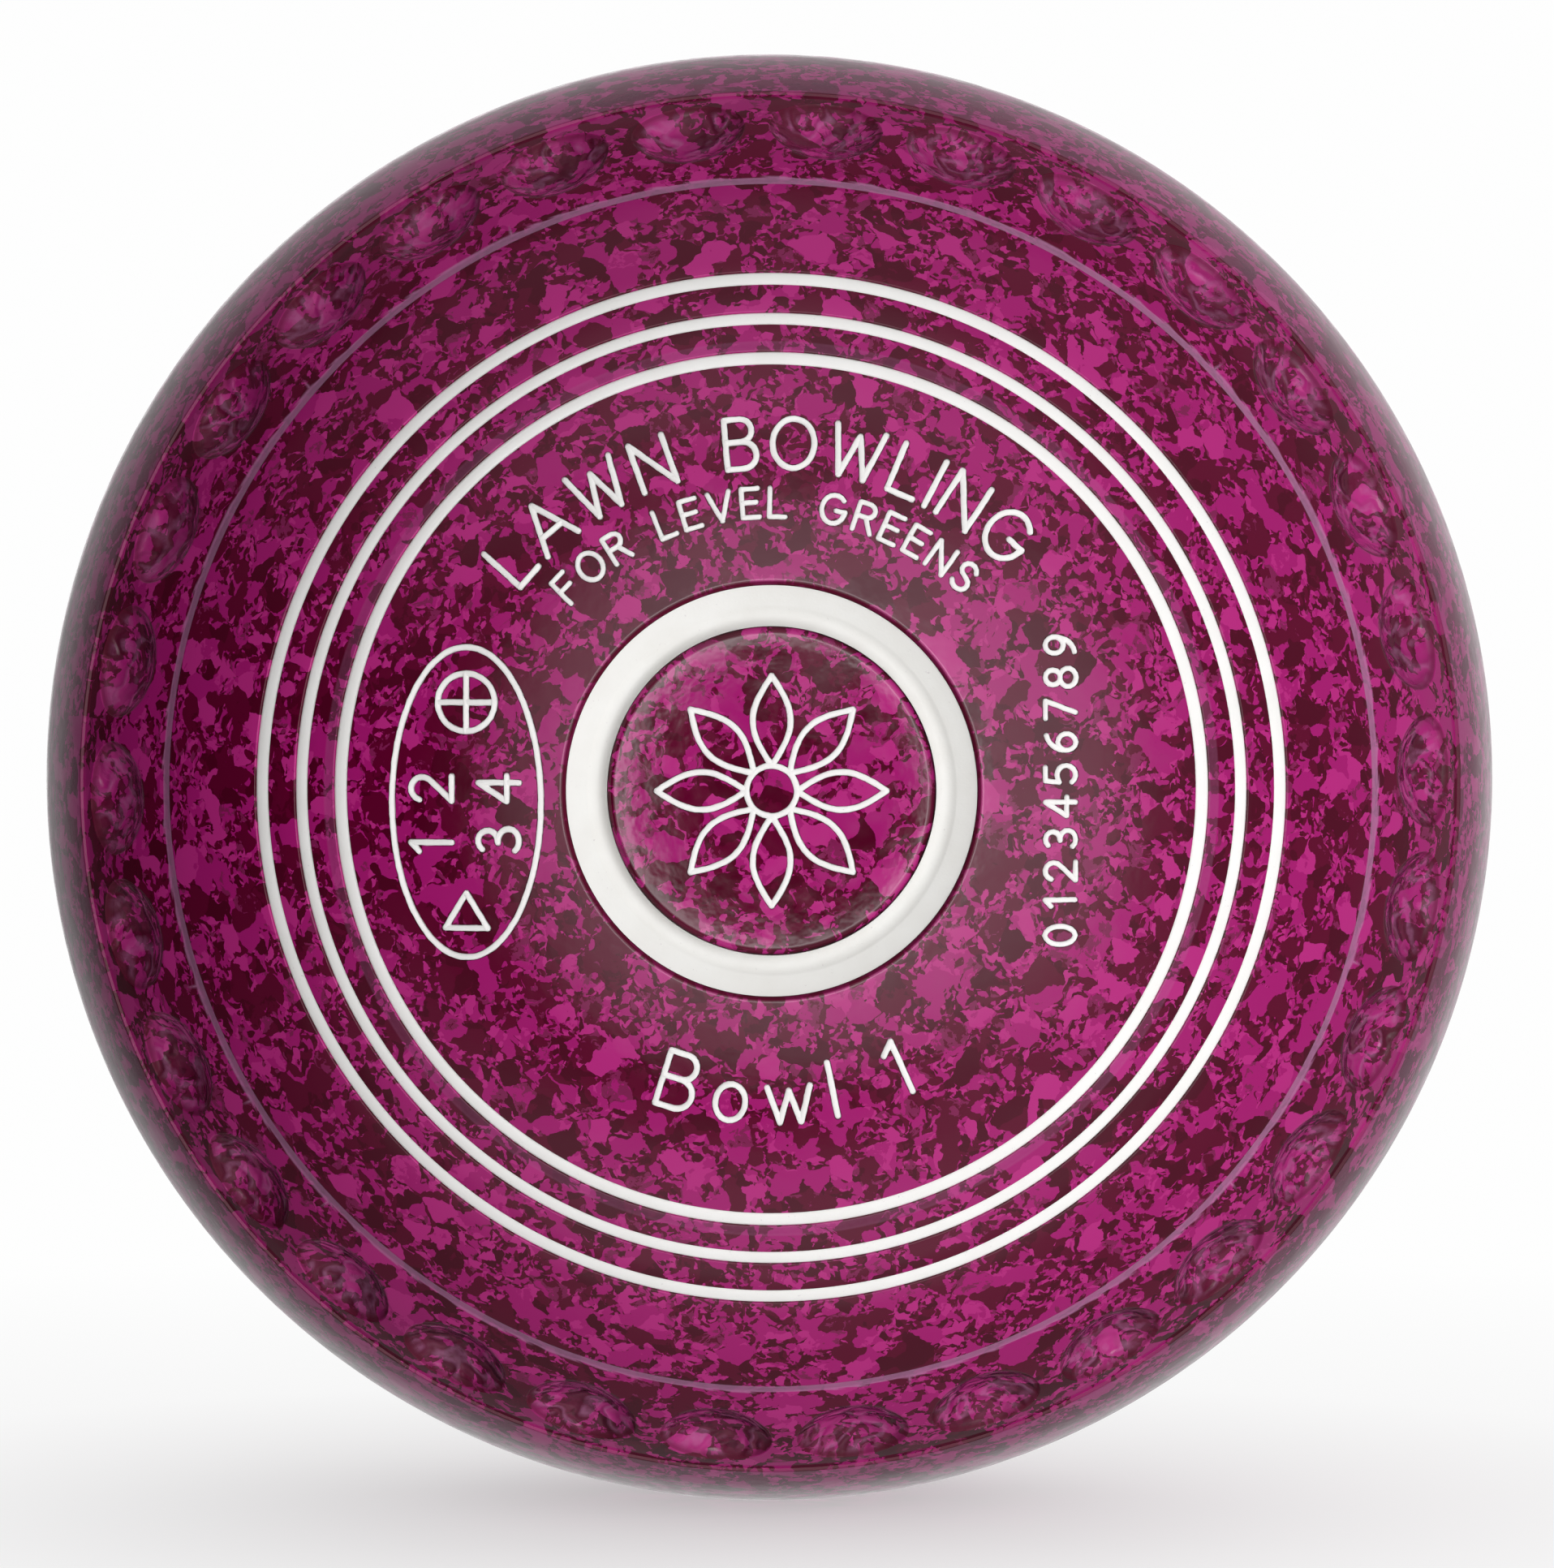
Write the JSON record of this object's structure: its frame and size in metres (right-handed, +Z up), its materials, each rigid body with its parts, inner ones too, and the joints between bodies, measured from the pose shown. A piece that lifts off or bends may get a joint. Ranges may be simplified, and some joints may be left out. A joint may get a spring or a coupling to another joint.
{
  "type": "lawn bowl",
  "caption": "Biased lawn bowl: a turned spheroid of speckled resin with dimpled grip bands, paint-filled rings and engraved marks on both faces.",
  "frame": {"origin": "centre of the bowl's bounding box, on its axis of rotation, midway between its two faces", "axes": "+Y along the bowl's axis from the front (large-ring) face to the back (bias) face, +Z up through the top of the engraved lettering, +X right as one looks at the front face"},
  "size_m": [0.117, 0.1, 0.117],
  "materials": {
    "resin": "polished magenta and maroon speckled composition resin",
    "paint": "hard white paint filled into turned and engraved grooves"
  },
  "bodies": {
    "root": {"back_emblem_flower": "paint", "back_thin_ring_inner": "paint", "back_thin_ring_middle": "paint", "back_thin_ring_outer": "paint", "back_wide_ring": "paint", "bowl_body": "resin", "front_emblem_flower": "paint", "front_thin_ring_inner": "paint", "front_thin_ring_middle": "paint", "front_thin_ring_outer": "paint", "front_wide_ring": "paint", "serial_digit_0": "paint", "serial_digit_1": "paint", "serial_digit_2": "paint", "serial_digit_3": "paint", "serial_digit_4": "paint", "serial_digit_5": "paint", "serial_digit_6": "paint", "serial_digit_7": "paint", "serial_digit_8": "paint", "serial_digit_9": "paint", "size_digit_01_1": "paint", "size_letter_01_B": "paint", "size_letter_02_o": "paint", "size_letter_03_w": "paint", "size_letter_04_l": "paint", "stamp_circle_mark": "paint", "stamp_digit_1": "paint", "stamp_digit_2": "paint", "stamp_digit_3": "paint", "stamp_digit_4": "paint", "stamp_oval": "paint", "stamp_triangle_mark": "paint", "title_letter_01_L": "paint", "title_letter_02_A": "paint", "title_letter_03_W": "paint", "title_letter_04_N": "paint", "title_letter_06_B": "paint", "title_letter_07_O": "paint", "title_letter_08_W": "paint", "title_letter_09_L": "paint", "title_letter_10_I": "paint", "title_letter_11_N": "paint", "title_letter_12_G": "paint"}
  },
  "joints": []
}
